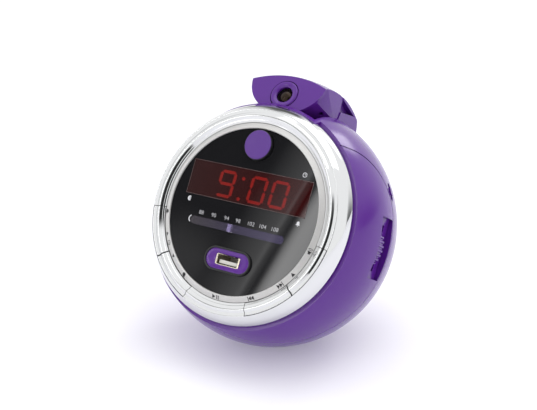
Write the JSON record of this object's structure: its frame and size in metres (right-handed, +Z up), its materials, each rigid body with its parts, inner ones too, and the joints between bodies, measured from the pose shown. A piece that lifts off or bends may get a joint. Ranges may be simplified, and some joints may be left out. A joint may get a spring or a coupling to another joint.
{
  "type": "projection alarm clock",
  "caption": "Ball-shaped projection alarm clock radio with a tilted round face, a metallised ring with rocker buttons, thumb wheels and a fold-out projector.",
  "frame": {"origin": "on the table, straight below the middle of the ball", "axes": "+Z up, the face looks towards -Y and is tilted back, +X to the right of the face"},
  "size_m": [0.1324, 0.1261, 0.1427],
  "materials": {
    "purple_shell": "high gloss, moulded in colour",
    "metallised_ring": "vacuum-metallised, mirror bright",
    "silver_band": "satin silver",
    "black_panel": "black-backed clear acrylic",
    "red_filter": "dark red filter",
    "scale_lilac": "translucent",
    "red_led": "lit",
    "black_plastic": "moulded",
    "white_plastic": "moulded",
    "circuit_board": "solder-masked",
    "steel": "plain",
    "nickel": "nickel plated",
    "feet": "matt",
    "cone_paper": "pressed",
    "lens": "coated",
    "slide_glass": "liquid crystal"
  },
  "bodies": {
    "housing": {"front_shell": "purple_shell", "rear_shell": "purple_shell", "rubber_feet": "feet", "housing_screws": "steel", "coin_cell": "steel", "battery_contact": "nickel", "chrome_bezel": "metallised_ring", "dome_switches": "nickel", "lettering_ring": "silver_band", "dial_glass": "black_panel", "display_filter": "red_filter", "scale_window": "scale_lilac", "face_frame": "black_plastic", "snooze_board": "circuit_board", "snooze_switch": "black_plastic", "display_module": "black_plastic", "lit_segments": "red_led", "display_board": "circuit_board", "pointer_rail": "steel", "volume_pot": "black_plastic", "tuning_capacitor": "white_plastic", "main_board": "circuit_board", "switch_body": "steel", "speaker_basket": "steel", "speaker_cone": "cone_paper", "speaker_magnet": "steel", "usb_gasket": "black_plastic", "usb_surround": "purple_shell", "usb_shell": "nickel", "usb_tongue": "white_plastic", "usb_board": "circuit_board", "dc_jack": "black_plastic", "hinge_pins": "steel"},
    "projector": {"projector_shell": "purple_shell", "projector_front": "purple_shell", "optics_housing": "black_plastic", "lcd_slide": "slide_glass", "projector_led": "white_plastic"},
    "focus": {"focus_ring": "purple_shell"},
    "barrel": {"lens_barrel": "black_plastic", "projection_lens": "lens"},
    "snooze": {"snooze_button": "purple_shell"},
    "right_upper": {"right_upper_button": "metallised_ring"},
    "right_lower": {"right_lower_button": "metallised_ring"},
    "left_upper": {"left_upper_button": "metallised_ring"},
    "left_lower": {"left_lower_button": "metallised_ring"},
    "volume": {"volume_wheel": "purple_shell"},
    "tuning": {"tuning_wheel": "purple_shell"},
    "pointer": {"tuning_pointer": "white_plastic"},
    "switch": {"switch_knob": "purple_shell"},
    "door": {"battery_door": "purple_shell"}
  },
  "joints": [
    {"name": "projector_hinge", "type": "hinge", "parent": "housing", "child": "projector", "pos_m": [0, 0.037, 0.109], "axis": [-1, 0, 0], "range_deg": [-27.3, 47]},
    {"name": "focus_turn", "type": "hinge", "parent": "projector", "child": "focus", "pos_m": [0, 0.01214, 0.13219], "axis": [0, -0.7314, 0.682], "range_deg": [-90, 90]},
    {"name": "lens_slide", "type": "slide", "parent": "projector", "child": "barrel", "axis": [0, -0.7314, 0.682], "range_m": [-0.00149, 0.00149]},
    {"name": "snooze_push", "type": "slide", "parent": "housing", "child": "snooze", "axis": [0, 0.8729, -0.4879], "range_m": [0, 0.001], "stiffness_N_per_m": 400, "springref_m": -0.0006},
    {"name": "right_upper_rock", "type": "hinge", "parent": "housing", "child": "right_upper", "pos_m": [0.04623, -0.04094, 0.06207], "axis": [0.9056, -0.2069, -0.3703], "range_deg": [-2.5, 2.5], "stiffness_Nm_per_rad": 0.2},
    {"name": "right_lower_rock", "type": "hinge", "parent": "housing", "child": "right_lower", "pos_m": [0.02899, -0.05088, 0.0443], "axis": [0.5678, -0.4016, -0.7185], "range_deg": [-2.5, 2.5], "stiffness_Nm_per_rad": 0.2},
    {"name": "left_upper_rock", "type": "hinge", "parent": "housing", "child": "left_upper", "pos_m": [-0.04623, -0.04094, 0.06207], "axis": [-0.9056, -0.2069, -0.3703], "range_deg": [-2.5, 2.5], "stiffness_Nm_per_rad": 0.2},
    {"name": "left_lower_rock", "type": "hinge", "parent": "housing", "child": "left_lower", "pos_m": [-0.02899, -0.05088, 0.0443], "axis": [-0.5678, -0.4016, -0.7185], "range_deg": [-2.5, 2.5], "stiffness_Nm_per_rad": 0.2},
    {"name": "volume_turn", "type": "hinge", "parent": "housing", "child": "volume", "pos_m": [0.0483, -0.00113, 0.06463], "axis": [0, -0.8729, 0.4879], "range_deg": [-140, 140]},
    {"name": "tuning_turn", "type": "hinge", "parent": "housing", "child": "tuning", "pos_m": [-0.0483, -0.00113, 0.06463], "axis": [0, -0.8729, 0.4879], "range_deg": [-91, 207]},
    {"name": "pointer_slide", "type": "slide", "parent": "housing", "child": "pointer", "axis": [1, 0, 0], "range_m": [-0.014, 0.032]},
    {"name": "switch_slide", "type": "slide", "parent": "housing", "child": "switch", "axis": [-0.4618, 0.3763, 0.8032], "range_m": [-0.0015, 0.0015]},
    {"name": "battery_door_turn", "type": "hinge", "parent": "housing", "child": "door", "pos_m": [0, 0, 0.0024], "axis": [0, 0, 1], "range_deg": [0, 60]}
  ],
  "couplings": [
    {"joint": "focus_turn", "follows": "lens_slide", "rad_per_m": 1052.6},
    {"joint": "pointer_slide", "follows": "tuning_turn", "m_per_rad": 0.0088}
  ]
}
